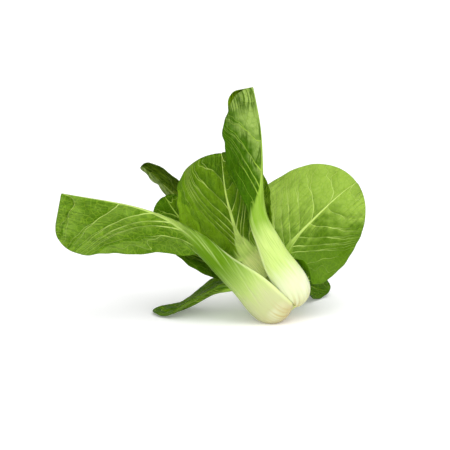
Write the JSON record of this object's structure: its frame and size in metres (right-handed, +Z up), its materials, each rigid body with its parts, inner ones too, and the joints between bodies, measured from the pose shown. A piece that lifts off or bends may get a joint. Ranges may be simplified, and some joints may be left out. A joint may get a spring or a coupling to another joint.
{
  "type": "bok choy head",
  "caption": "Whole fresh bok choy head lying on its side, with thick pale stalks swelling at the foot and broad, cupped green leaves.",
  "frame": {"origin": "middle of the small flat spot under the outermost stalk, on the surface the head lies on", "axes": "+Z up from that surface, +X to the right along the longest extent with the cut stem end at its +X side, +Y away from the side that shows the two front stalks"},
  "size_m": [0.2285, 0.1262, 0.1729],
  "materials": {
    "stem_end": "moist, cut plant tissue",
    "leaf_light": "satin, waxy leaf",
    "leaf_deep": "satin, waxy leaf",
    "leaf_dull": "dull underside of a leaf",
    "leaf_heart": "satin, tender leaf"
  },
  "bodies": {
    "root": {"core": "stem_end", "leaf_left": "leaf_light", "leaf_upright": "leaf_light", "leaf_right": "leaf_light", "leaf_middle": "leaf_deep", "leaf_inner": "leaf_deep", "leaf_back_left": "leaf_deep", "leaf_rolled": "leaf_dull", "leaf_low_left": "leaf_deep", "leaf_low_right": "leaf_deep", "heart_leaf_outer": "leaf_heart", "heart_leaf_side": "leaf_heart", "heart_leaf_inner": "leaf_heart"}
  },
  "joints": []
}
